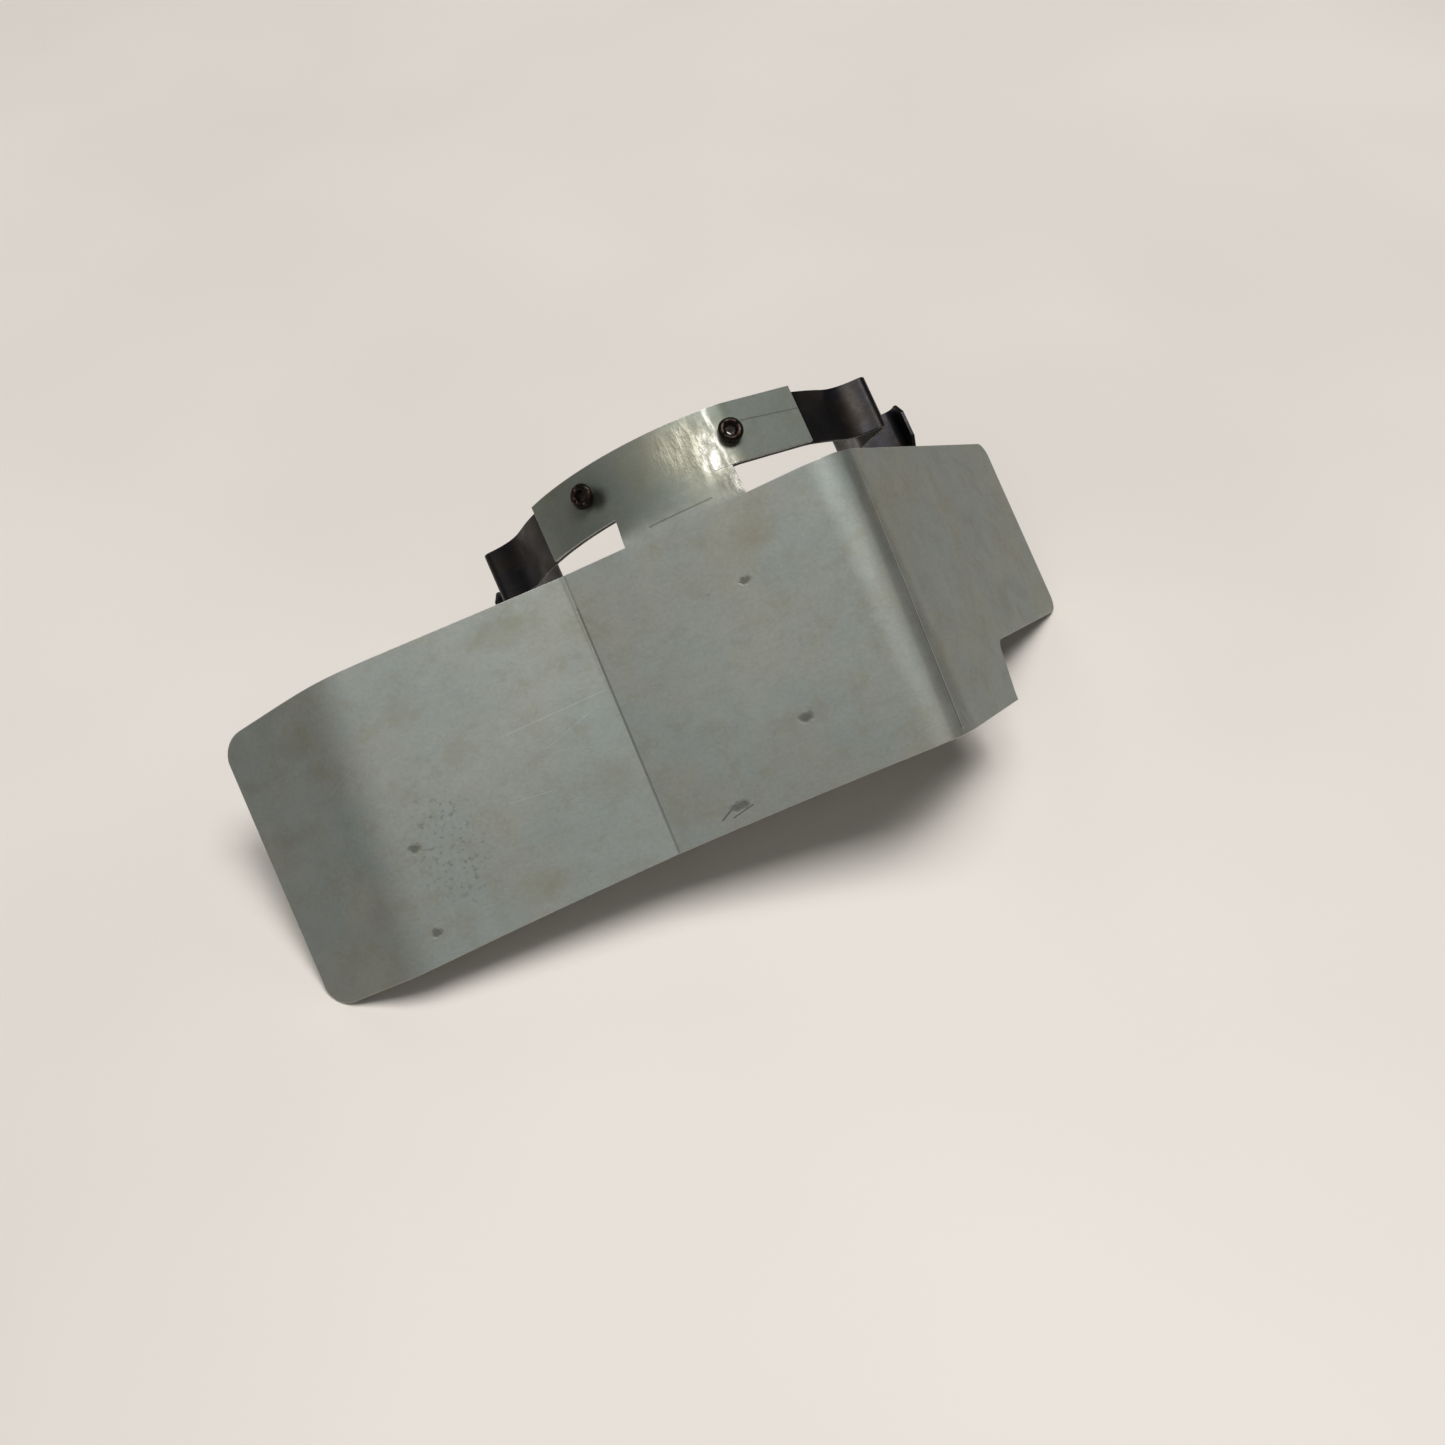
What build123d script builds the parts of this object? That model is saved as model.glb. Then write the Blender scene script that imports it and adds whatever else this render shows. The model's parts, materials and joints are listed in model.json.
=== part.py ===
"""Clip-on sheet-metal guard: a bent zinc-plated plate with a riveted spring-steel tube clip.

Every piece is drawn in the plate's own axes: +X along the plate, +Y towards the clip and +Z out of
its outer face, from the middle of the neck's root. At the end the whole part is turned into the pose
in which it lies on a table, on its three feet: +Z up, origin under the middle of its bounding box.
"""

from build123d import *
import os
from math import asin, cos, degrees, radians, sin, sqrt, tan

# ---- sheet metal (mm, degrees) ----
sheet_thickness = 0.5
plate_width = 34.6
left_edge_x = -60.8
left_panel_length = 29.6
left_fold_skew = 2.8
crease_from_neck = 16.5
fold_from_neck = 18.2
tab_length = 49.2
left_flange_slope = 22.7
left_panel_slope = -2.9
right_panel_slope = 7.6
tab_slope = -58.8
left_bend_radius = 13.0
crease_radius = 1.5
right_bend_radius = 6.5
left_corner_radius = 3.2
tab_corner_radius = 2.2
front_edge_bow = 0.5
back_edge_bow = 0.5
back_edge_drop = 0.7
back_edge_radius = 150.0

# ---- notch under the tab ----
tab_width = 27.0
tab_taper = 1.4
notch_from_fold = 22.0
notch_foot_from_fold = 20.0
notch_radius = 1.6
notch_foot_radius = 3.0
notch_foot_height = 1.0

# ---- neck and rivet band ----
neck_width = 15.0
neck_offset = -0.6
neck_length = 3.8
neck_bend = 5.0
band_width = 7.2
band_offset = -0.3
band_radius = 23.7
band_half_angle = 45.0

# ---- spring clip ----
tube_radius = 22.5
strip_thickness = 0.5
strip_width = 6.7
strip_offset = 0.3
clip_roll = 5.0
bridge_half_angle = 46.0
joint_gap = 0.1
waist_end_angle = 34.0
waist_run = 5.2
waist_bend_radius = 6.0
shoulder_fold = (26.0, 8.3)
shoulder_radius = 0.5
grip_start_angle = 4.0
grip_end_angle = -22.0
grip_entry_run = 1.5
grip_entry_radius = 3.0
grip_exit_run = 2.6
grip_exit_radius = 2.0
lip_corner = (30.0, -14.0)
lip_run = 3.8
lip_heading = 75.0
lip_curl_radius = 1.6
lip_chamfer = 1.5

# ---- tubular rivets ----
rivet_left_place = (-24.4, 0.6)
rivet_right_place = (20.4, 0.0)
rivet_shank_radius = 1.1
rivet_hole_radius = 0.55
rivet_clearance = 0.02
clinch_radius = 1.5
clinch_height = 1.2
clinch_roundness = 0.38
head_radius = 1.7
head_thickness = 0.2

# ---- cutters and pose ----
cut_depth = 10.0
cut_margin = 1.0
hole_cut_depth = 2.5
tab_cut_depth = 5.0
leaning_up = Vector(0.22, 0.57, 0.79)


def along(start, length, slope):
    """The point at a distance and a slope from another, in a plane's own two axes."""
    return (start[0] + length * cos(radians(slope)), start[1] + length * sin(radians(slope)))


# Outer face of the sheet, seen along the plate's width.
neck_root = (0, 0)
crease = along(neck_root, -crease_from_neck, right_panel_slope)
right_fold = along(neck_root, fold_from_neck, right_panel_slope)
tab_tip = along(right_fold, tab_length, tab_slope)


def sheet_line(panel_length):
    """The outer face's corners from the left edge to the tab's tip, for one length of left panel."""
    left_fold = along(crease, -panel_length, left_panel_slope)
    drop = (left_fold[0] - left_edge_x) * tan(radians(left_flange_slope))
    return ((left_edge_x, left_fold[1] - drop), left_fold, crease, right_fold, tab_tip)


back_left_fold = sheet_line(left_panel_length)[1]
front_left_fold = sheet_line(left_panel_length + left_fold_skew)[1]

# The bent strip's two end sections: y, and the left panel's length there.
section_places = (
    (back_edge_bow, left_panel_length),
    (-plate_width, left_panel_length + left_fold_skew),
)

# Plane of the tab's outer face: x along the tab from the fold, y along the plate's width.
tab_plane = Plane(
    origin=(right_fold[0], 0, right_fold[1]),
    x_dir=(cos(radians(tab_slope)), 0, sin(radians(tab_slope))),
    z_dir=(-sin(radians(tab_slope)), 0, cos(radians(tab_slope))),
)

# Plane of the clip: its origin is the tube's centre and y points at the middle of the band.
clip_axis = Vector(0, 1, 0).rotate(Axis.X, -neck_bend)
clip_side = Vector(1, 0, 0).rotate(Axis((0, 0, 0), clip_axis), -clip_roll)
clip_up = clip_side.cross(clip_axis)
band_middle = clip_side * band_offset + clip_axis * (neck_length + band_width / 2)
clip_plane = Plane(origin=band_middle - clip_up * band_radius, x_dir=clip_side, z_dir=-clip_axis)
strip_plane = clip_plane.offset(strip_offset)
mirror_plane = Plane(origin=clip_plane.origin, z_dir=clip_side)


def rivet_plane(place):
    """Plane through a rivet's axis, with its origin on the band's outer face and y out of it.

    A place is an angle round the band and a distance off its middle line.
    """
    angle, off_middle = place
    radial = clip_up.rotate(Axis((0, 0, 0), clip_axis), angle)
    origin = clip_plane.origin + radial * band_radius + clip_axis * off_middle
    return Plane(origin=origin, x_dir=clip_axis, z_dir=clip_axis.cross(radial))


def rivet_hole_plane(place):
    """Plane square to a rivet's axis, on the band's outer face."""
    return Plane(origin=rivet_plane(place).origin, z_dir=rivet_plane(place).y_dir)


# ---- guard plate: flange, two panels, tab, neck and rivet band, all one piece of sheet ----
with BuildPart() as guard_plate:
    # The bent strip; the left bend runs a little askew.
    for y, panel_length in section_places:
        with BuildSketch(Plane.XZ.offset(-y)):
            with BuildLine():
                FilletPolyline(
                    *sheet_line(panel_length),
                    radius=(left_bend_radius, crease_radius, right_bend_radius),
                )
                offset(amount=sheet_thickness, side=Side.RIGHT)
            make_face()
    loft(ruled=True)

    # Tab: its lower strip is cut away, and its back edge runs down a little to the tip.
    with BuildSketch(tab_plane):
        with BuildLine():
            FilletPolyline(
                (notch_foot_from_fold, -plate_width - cut_margin),
                (notch_foot_from_fold, -plate_width + notch_foot_height),
                (notch_from_fold, -tab_width),
                (tab_length + cut_margin, -tab_width),
                (tab_length + cut_margin, -plate_width - cut_margin),
                radius=(notch_foot_radius, notch_radius, 0),
            )
            Line(
                (tab_length + cut_margin, -plate_width - cut_margin),
                (notch_foot_from_fold, -plate_width - cut_margin),
            )
        make_face()
        with BuildLine():
            Polyline(
                (0, 0),
                (tab_length + cut_margin, -tab_taper),
                (tab_length + cut_margin, cut_margin),
                (0, cut_margin),
                close=True,
            )
        make_face()
    extrude(amount=tab_cut_depth, both=True, mode=Mode.SUBTRACT)

    # Front edge a little hollow between the bends; back edge bowed out over the left bend.
    with BuildSketch(Plane.XY):
        with BuildLine():
            ThreePointArc(
                (front_left_fold[0], -plate_width),
                ((front_left_fold[0] + right_fold[0]) / 2, front_edge_bow - plate_width),
                (right_fold[0], -plate_width),
            )
            Polyline(
                (right_fold[0], -plate_width),
                (right_fold[0], -plate_width - cut_margin),
                (front_left_fold[0], -plate_width - cut_margin),
                (front_left_fold[0], -plate_width),
            )
        make_face()
        with BuildLine():
            FilletPolyline(
                (left_edge_x, -back_edge_drop),
                (back_left_fold[0], back_edge_bow),
                neck_root,
                radius=back_edge_radius,
            )
            Polyline(
                neck_root,
                (right_fold[0], 0),
                (right_fold[0], cut_margin),
                (left_edge_x, cut_margin),
                (left_edge_x, -back_edge_drop),
            )
        make_face()
    extrude(amount=cut_depth, both=True, mode=Mode.SUBTRACT)

    left_end = guard_plate.faces().sort_by(Axis.X)[0]
    fillet(left_end.edges().sort_by(Edge.length)[:2], left_corner_radius)
    tab_end = guard_plate.faces().sort_by(Axis.Z)[0]
    fillet(tab_end.edges().sort_by(Edge.length)[:2], tab_corner_radius)

    # Band: an arch over the tube.
    with BuildSketch(clip_plane):
        with BuildLine():
            CenterArc((0, 0), band_radius, 90 - band_half_angle, 2 * band_half_angle)
            offset(amount=sheet_thickness, side=Side.LEFT)
        make_face()
    extrude(amount=band_width / 2, both=True)

    # Neck: flat where it leaves the plate and arched where it joins the band.
    neck_right = degrees(asin((neck_width / 2 + neck_offset - band_offset) / band_radius))
    neck_left = degrees(asin((neck_width / 2 - neck_offset + band_offset) / band_radius))
    with BuildSketch(Plane.XZ):
        with BuildLine():
            right = along(neck_root, neck_offset + neck_width / 2, right_panel_slope)
            left = along(neck_root, neck_offset - neck_width / 2, right_panel_slope)
            under_left = along(left, sheet_thickness, right_panel_slope - 90)
            under_right = along(right, sheet_thickness, right_panel_slope - 90)
            Polyline(right, left, under_left, under_right, close=True)
        make_face()
    with BuildSketch(clip_plane.offset(band_width / 2)):
        with BuildLine():
            CenterArc((0, 0), band_radius, 90 - neck_right, neck_left + neck_right)
            offset(amount=sheet_thickness, side=Side.LEFT)
        make_face()
    loft(ruled=True)

    for place in (rivet_left_place, rivet_right_place):
        with BuildSketch(rivet_hole_plane(place)):
            Circle(rivet_shank_radius + rivet_clearance)
        extrude(amount=hole_cut_depth, both=True, mode=Mode.SUBTRACT)
guard_plate.part.label = "guard_plate"

# ---- spring bridge: the middle of the spring strip, held under the band by the rivets ----
bridge_outer_radius = band_radius - sheet_thickness
bridge_inner_radius = bridge_outer_radius - strip_thickness

with BuildPart() as spring_bridge:
    with BuildSketch(strip_plane):
        with BuildLine():
            CenterArc((0, 0), bridge_outer_radius, 90 - bridge_half_angle, 2 * bridge_half_angle)
            offset(amount=strip_thickness, side=Side.LEFT)
        make_face()
    extrude(amount=strip_width / 2, both=True)
    for place in (rivet_left_place, rivet_right_place):
        with BuildSketch(rivet_hole_plane(place)):
            Circle(rivet_shank_radius + rivet_clearance)
        extrude(amount=hole_cut_depth, both=True, mode=Mode.SUBTRACT)
spring_bridge.part.label = "spring_bridge"

# ---- spring arms: waist, folded shoulder, grip round the tube and curled lip ----
arm_start_angle = 90 - bridge_half_angle - degrees(joint_gap / bridge_inner_radius)
waist_turn = waist_end_angle - arm_start_angle
grip_turn = grip_end_angle - grip_start_angle

with BuildPart() as spring_arm_right:
    with BuildSketch(strip_plane):
        with BuildLine():
            waist = CenterArc((0, 0), bridge_inner_radius, arm_start_angle, waist_turn)
            grip = CenterArc((0, 0), tube_radius, grip_start_angle, grip_turn)
            FilletPolyline(
                waist @ 1,
                waist @ 1 + (waist % 1) * waist_run,
                shoulder_fold,
                grip @ 0 - (grip % 0) * grip_entry_run,
                grip @ 0,
                radius=(waist_bend_radius, shoulder_radius, grip_entry_radius),
            )
            FilletPolyline(
                grip @ 1,
                grip @ 1 + (grip % 1) * grip_exit_run,
                lip_corner,
                along(lip_corner, lip_run, lip_heading),
                radius=(grip_exit_radius, lip_curl_radius),
            )
            offset(amount=strip_thickness, side=Side.LEFT)
        make_face()
    extrude(amount=strip_width / 2, both=True)
    lip_tip = along(along(lip_corner, lip_run, lip_heading), strip_thickness / 2, lip_heading + 90)
    lip_end = spring_arm_right.faces().sort_by_distance(strip_plane.from_local_coords((*lip_tip, 0)))[0]
    chamfer(lip_end.edges().sort_by(Edge.length)[:2], lip_chamfer)
spring_arm_right.part.label = "spring_arm_right"

with BuildPart() as spring_arm_left:
    mirror(spring_arm_right.part, about=mirror_plane)
spring_arm_left.part.label = "spring_arm_left"


# ---- tubular rivets: thin head inside the clip, shank, and a rolled clinch outside the band ----
def rivet(place):
    """One rivet, turned about its own axis."""
    plane = rivet_plane(place)
    head_seat = sqrt(bridge_inner_radius**2 - head_radius**2) - band_radius
    with BuildPart() as piece:
        with BuildSketch(plane):
            with BuildLine():
                Polyline(
                    (rivet_hole_radius, head_seat - head_thickness),
                    (head_radius, head_seat - head_thickness),
                    (head_radius, head_seat),
                    (rivet_shank_radius, head_seat),
                    (rivet_shank_radius, 0),
                    (clinch_radius, 0),
                    (clinch_radius, clinch_height),
                    (rivet_hole_radius, clinch_height),
                    close=True,
                )
            make_face()
        revolve(axis=Axis(plane.origin, plane.y_dir))
        rims = piece.edges().filter_by(GeomType.CIRCLE).sort_by(Axis(plane.origin, plane.y_dir))[-2:]
        fillet(rims, clinch_roundness)
    return piece


rivet_left = rivet(rivet_left_place)
rivet_left.part.label = "rivet_left"
rivet_right = rivet(rivet_right_place)
rivet_right.part.label = "rivet_right"

# ---- resting pose: the flange's front corner, the tab's front corner and the left lip are its feet ----
pieces = (guard_plate, spring_bridge, spring_arm_left, spring_arm_right, rivet_left, rivet_right)
lean = Axis((0, 0, 0), leaning_up)
left_edges = guard_plate.edges().filter_by(lambda edge: edge.center().X < neck_root[0])
right_edges = guard_plate.edges().filter_by(lambda edge: edge.center().X > neck_root[0])
flange_foot = left_edges.sort_by(lean)[0] @ 0.5
tab_foot = right_edges.sort_by(lean)[0] @ 0.5
lip_foot = spring_arm_left.edges().filter_by(GeomType.CIRCLE).sort_by(lean)[0] @ 0.5
table_up = (tab_foot - flange_foot).cross(lip_foot - flange_foot).normalized()
plate_way = Vector(1, 0, 0) - table_up * table_up.X
table_plane = Plane(origin=flange_foot, x_dir=plate_way, z_dir=table_up)
box = Compound(children=[table_plane.to_local_coords(piece.part) for piece in pieces]).bounding_box()
middle = Vector(box.center().X, box.center().Y, box.min.Z)
resting = Plane(
    origin=table_plane.from_local_coords(middle),
    x_dir=plate_way,
    z_dir=table_up,
).location.inverse()

os.makedirs("parts", exist_ok=True)
for piece in pieces:
    piece.part.location = resting
    export_step(piece.part, f"parts/{piece.part.label}.step")
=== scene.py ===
"""Looks of the clip-on sheet-metal guard: bent zinc-coated sheet, blued spring strip, two tubular rivets.

The pieces are drawn in the plate's own axes, in millimetres: +X along the plate, +Y towards the clip and
+Z out of its outer face, from the middle of the neck's root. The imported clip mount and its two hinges
say where those axes lie in the row frame.
"""

import json
from bisect import bisect_right
from math import ceil, cos, degrees, pi, radians, sin, sqrt, tan

import bmesh
import bpy
from mathutils import Matrix, Vector, noise


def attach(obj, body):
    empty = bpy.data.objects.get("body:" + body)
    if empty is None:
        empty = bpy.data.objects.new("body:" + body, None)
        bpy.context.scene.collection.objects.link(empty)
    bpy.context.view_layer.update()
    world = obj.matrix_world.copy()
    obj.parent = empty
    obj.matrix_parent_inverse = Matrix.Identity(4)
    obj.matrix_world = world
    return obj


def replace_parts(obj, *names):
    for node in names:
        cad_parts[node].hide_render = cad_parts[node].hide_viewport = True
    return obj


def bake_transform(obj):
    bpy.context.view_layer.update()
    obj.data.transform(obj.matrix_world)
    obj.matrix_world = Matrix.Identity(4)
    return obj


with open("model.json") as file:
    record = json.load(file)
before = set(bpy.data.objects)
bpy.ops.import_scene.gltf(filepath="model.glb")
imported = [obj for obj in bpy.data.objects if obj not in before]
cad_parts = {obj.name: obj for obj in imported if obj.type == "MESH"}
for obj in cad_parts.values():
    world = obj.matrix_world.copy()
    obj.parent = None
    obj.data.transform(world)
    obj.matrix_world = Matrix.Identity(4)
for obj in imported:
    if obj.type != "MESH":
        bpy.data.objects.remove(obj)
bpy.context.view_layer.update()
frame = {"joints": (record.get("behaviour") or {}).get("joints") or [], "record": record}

MM = 0.001

# ---- sheet metal (mm, degrees) ----
sheet_thickness = 0.5
plate_width = 34.6
left_edge_x = -60.8
left_panel_length = 29.6
left_fold_skew = 2.8
crease_from_neck = 16.5
fold_from_neck = 18.2
tab_length = 49.2
left_flange_slope = 22.7
left_panel_slope = -2.9
right_panel_slope = 7.6
tab_slope = -58.8
left_bend_radius = 13.0
crease_radius = 1.5
right_bend_radius = 6.5
left_corner_radius = 3.2
tab_corner_radius = 2.2
front_edge_bow = 0.5
back_edge_bow = 0.5
back_edge_drop = 0.7
back_bow_half_run = 6.8
tab_width = 27.0
tab_taper = 1.4
notch_from_fold = 22.0
notch_foot_from_fold = 20.0
notch_foot_lean = 0.15
notch_foot_height = 1.0
notch_radius = 1.6
notch_foot_radius = 3.0

# ---- neck and rivet band ----
neck_width = 15.0
neck_offset = -0.6
neck_length = 3.8
neck_bend = 5.0
band_width = 7.2
band_offset = -0.3
band_radius = 23.7
band_half_angle = 45.0

# ---- spring strip ----
tube_radius = 22.5
strip_thickness = 0.5
strip_width = 6.7
strip_offset = 0.3
strip_seat_gap = 0.03
clip_roll = 5.0
waist_end_angle = 56.0
waist_run = 5.2
waist_bend_radius = 6.0
shoulder_fold = (26.0, 8.3)
shoulder_radius = 0.5
grip_start_angle = 4.0
grip_end_angle = -22.0
grip_entry_run = 1.5
grip_entry_radius = 3.0
grip_exit_run = 2.6
grip_exit_radius = 2.0
lip_corner = (30.0, -14.0)
lip_run = 3.8
lip_heading = 75.0
lip_curl_radius = 1.6
lip_chamfer = 1.5
kink_exit_radii = (8.0, 20.0)

# ---- tubular rivets: angle round the band, distance off its middle ----
rivet_places = {"left": (-24.4, 0.6), "right": (20.4, 0.0)}
rivet_shank_radius = 1.1
rivet_bore_radius = 0.6
clinch_radius = 1.5
clinch_height = 1.2
head_radius = 1.7
head_thickness = 0.2

# ---- fineness of the meshes ----
weld_distance = 0.002
soft_edge_angle = 50
bevel_segments = 3
sheet_bevel = 0.2
strip_bevel = 0.09
bend_arc_step = 3.5
notch_arc_step = 9
clip_arc_step = 8
arch_angle_step = 1.6
grip_angle_step = 2
corner_columns = 7
flange_step = 1.2
panel_step = 1.3
neck_step = 1.0
tab_step = 1.2
tab_end_step = 1.3
fold_margin = 4.6
crease_margin = 0.6
notch_margin = 0.6
tab_end_margin = 0.8
plate_rows = 34
neck_rows = 9
band_step = 0.5
band_row_step = 0.48
strip_step = 0.8
strip_row_step = 0.56
station_gap = 0.08
lip_step = 0.3
hole_ring_shares = (1 / 3, 2 / 3, 1)
band_hole_margin = 1.35
strip_hole_margin = 1.3


def along(start, length, slope):
    """The point at a distance and a slope from another, in a plane's own two axes."""
    return Vector((start[0] + length * cos(radians(slope)), start[1] + length * sin(radians(slope))))


def blend_value(low, high, share):
    return low + (high - low) * share


def spaced(start, end, step):
    """Evenly spaced values from start to end, both included, at most a step apart."""
    count = max(1, ceil(abs(end - start) / step))
    return [blend_value(start, end, k / count) for k in range(count + 1)]


# ---- where the plate's axes lie in the row frame ----
clip_axis = Vector((0, cos(radians(neck_bend)), -sin(radians(neck_bend))))
clip_side = Matrix.Rotation(radians(-clip_roll), 3, clip_axis) @ Vector((1, 0, 0))
clip_up = clip_side.cross(clip_axis)
band_middle = clip_side * band_offset + clip_axis * (neck_length + band_width / 2)
band_centre = band_middle - clip_up * band_radius
strip_centre = band_centre - clip_axis * strip_offset

mount = frame["record"]["mounts"][0]
hinges = {joint["name"]: Vector(joint["pos_m"]) for joint in frame["joints"]}
row_axis = Vector(mount["axis"]).normalized()
row_side = (hinges["right_arm_flex"] - hinges["left_arm_flex"]).normalized()
row_up = row_side.cross(row_axis)
turn = Matrix((row_side, row_axis, row_up)).transposed() @ Matrix((clip_side, clip_axis, clip_up))
plate_to_row = (
    Matrix.Translation(Vector(mount["pos_m"]) - turn @ strip_centre * MM)
    @ turn.to_4x4()
    @ Matrix.Scale(MM, 4)
)


def clip_point(centre, angle, radius, across=0.0):
    """A point round the clip: angle from its top, radius from its axis, distance along the axis."""
    radial = clip_side * sin(radians(angle)) + clip_up * cos(radians(angle))
    return centre + radial * radius + clip_axis * across


# ---- lines and grids ----
def rounded_points(corners, radii, arc_step, run_places=None):
    """Points along a polyline with rounded corners, each with its distance along the polyline.

    run_places gives, for each straight run, the distances from its first corner that get a point.
    """
    corners = [Vector(corner) for corner in corners]
    trims = [0.0]
    for before, corner, after, radius in zip(corners, corners[1:], corners[2:], radii):
        trims.append(radius * tan((corner - before).angle(after - corner) / 2))
    trims.append(0.0)
    points = []
    travelled = 0.0
    for run, (start, end) in enumerate(zip(corners, corners[1:])):
        length = (end - start).length
        way = (end - start) / length
        places = run_places[run] if run_places else ()
        for distance in (trims[run], *places, length - trims[run + 1]):
            points.append((start + way * distance, travelled + distance))
        if run < len(radii):
            next_way = (corners[run + 2] - end).normalized()
            angle = way.angle(next_way)
            side = Vector((-way.y, way.x))
            if side.dot(next_way) < 0:
                side = -side
            radius, trim = radii[run], trims[run + 1]
            arc_start = end - way * trim
            steps = ceil(degrees(angle) / arc_step)
            for k in range(1, steps):
                part = angle * k / steps
                point = arc_start + way * radius * sin(part) + side * radius * (1 - cos(part))
                points.append((point, travelled + length - trim + 2 * trim * k / steps))
        travelled += length
    return points


def add_patch(mesh, surface, columns, rows, holes=()):
    """Quads over a grid. surface(column, row) gives a point and its place on the flat sheet.

    A hole is (column, row, radius, margin): the cells within its margin become rings round it.
    """
    layer = mesh.verts.layers.float_vector["sheet"]

    def vertex(column, row):
        point, place = surface(column, row)
        made = mesh.verts.new(point)
        made[layer] = (*place, 0.0)
        return made

    grid = [[vertex(column, row) for row in rows] for column in columns]
    blocks = [
        (
            bisect_right(columns, column - margin) - 1,
            bisect_right(columns, column + margin),
            bisect_right(rows, row - margin) - 1,
            bisect_right(rows, row + margin),
        )
        for column, row, _, margin in holes
    ]
    for i in range(len(columns) - 1):
        for j in range(len(rows) - 1):
            if any(left <= i < right and low <= j < high for left, right, low, high in blocks):
                continue
            mesh.faces.new((grid[i][j], grid[i + 1][j], grid[i + 1][j + 1], grid[i][j + 1]))
    for (column, row, radius, _), (left, right, low, high) in zip(holes, blocks):
        outline = [(i, low) for i in range(left, right)]
        outline += [(right, j) for j in range(low, high)]
        outline += [(i, high) for i in range(right, left, -1)]
        outline += [(left, j) for j in range(high, low, -1)]
        outer = [grid[i][j] for i, j in outline]
        middle = Vector((column, row))
        for share in hole_ring_shares:
            inner = []
            for i, j in outline:
                place = Vector((columns[i], rows[j]))
                rim = middle + (place - middle).normalized() * radius
                inner.append(vertex(*place.lerp(rim, share)))
            for k in range(len(outline)):
                after = (k + 1) % len(outline)
                mesh.faces.new((outer[k], outer[after], inner[after], inner[k]))
            outer = inner
        for i in range(left + 1, right):
            for j in range(low + 1, high):
                mesh.verts.remove(grid[i][j])


def start_mesh():
    mesh = bmesh.new()
    mesh.verts.layers.float_vector.new("sheet")
    return mesh


def finish_piece(name, mesh, materials, thickness=0.0, rim_slot=0, inner_slot=0, bevel=0.0, outward=-1):
    """Turns a mesh drawn in the plate's axes into a piece in the row frame, thick and with soft edges.

    The slots say which material the rim and the inner face get. outward is 1 where the drawn face is
    the inner one, and -1 where it is the outer one.
    """
    bmesh.ops.remove_doubles(mesh, verts=mesh.verts, dist=weld_distance)
    places = mesh.verts.layers.float_vector["sheet"]
    flat = mesh.loops.layers.uv.new("sheet")
    for face in mesh.faces:
        face.smooth = True
        for loop in face.loops:
            loop[flat].uv = loop.vert[places].xy
    mesh.verts.layers.float_vector.remove(places)
    data = bpy.data.meshes.new(name)
    mesh.to_mesh(data)
    mesh.free()
    data.transform(plate_to_row)
    for material in materials:
        data.materials.append(material)
    piece = bpy.data.objects.new(name, data)
    bpy.context.scene.collection.objects.link(piece)
    if thickness:
        solid = piece.modifiers.new("thickness", "SOLIDIFY")
        solid.thickness = thickness * MM
        solid.offset = outward
        solid.use_even_offset = True
        solid.material_offset = inner_slot
        solid.material_offset_rim = rim_slot
    if bevel:
        edge = piece.modifiers.new("edges", "BEVEL")
        edge.width = bevel * MM
        edge.segments = bevel_segments
        edge.limit_method = "ANGLE"
        edge.angle_limit = radians(soft_edge_angle)
        edge.harden_normals = True
        edge.material = rim_slot
    shown = piece.evaluated_get(bpy.context.evaluated_depsgraph_get())
    final = bpy.data.meshes.new_from_object(shown)
    final.name = name
    piece.modifiers.clear()
    piece.data = final
    return piece


# ---- node helpers ----
def srgb(red, green, blue):
    """A colour given as it looks on a screen, 0 to 255, as the linear colour that shaders use."""
    parts = [channel / 255 for channel in (red, green, blue)]
    return (*[p / 12.92 if p <= 0.04045 else ((p + 0.055) / 1.055) ** 2.4 for p in parts], 1.0)


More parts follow.
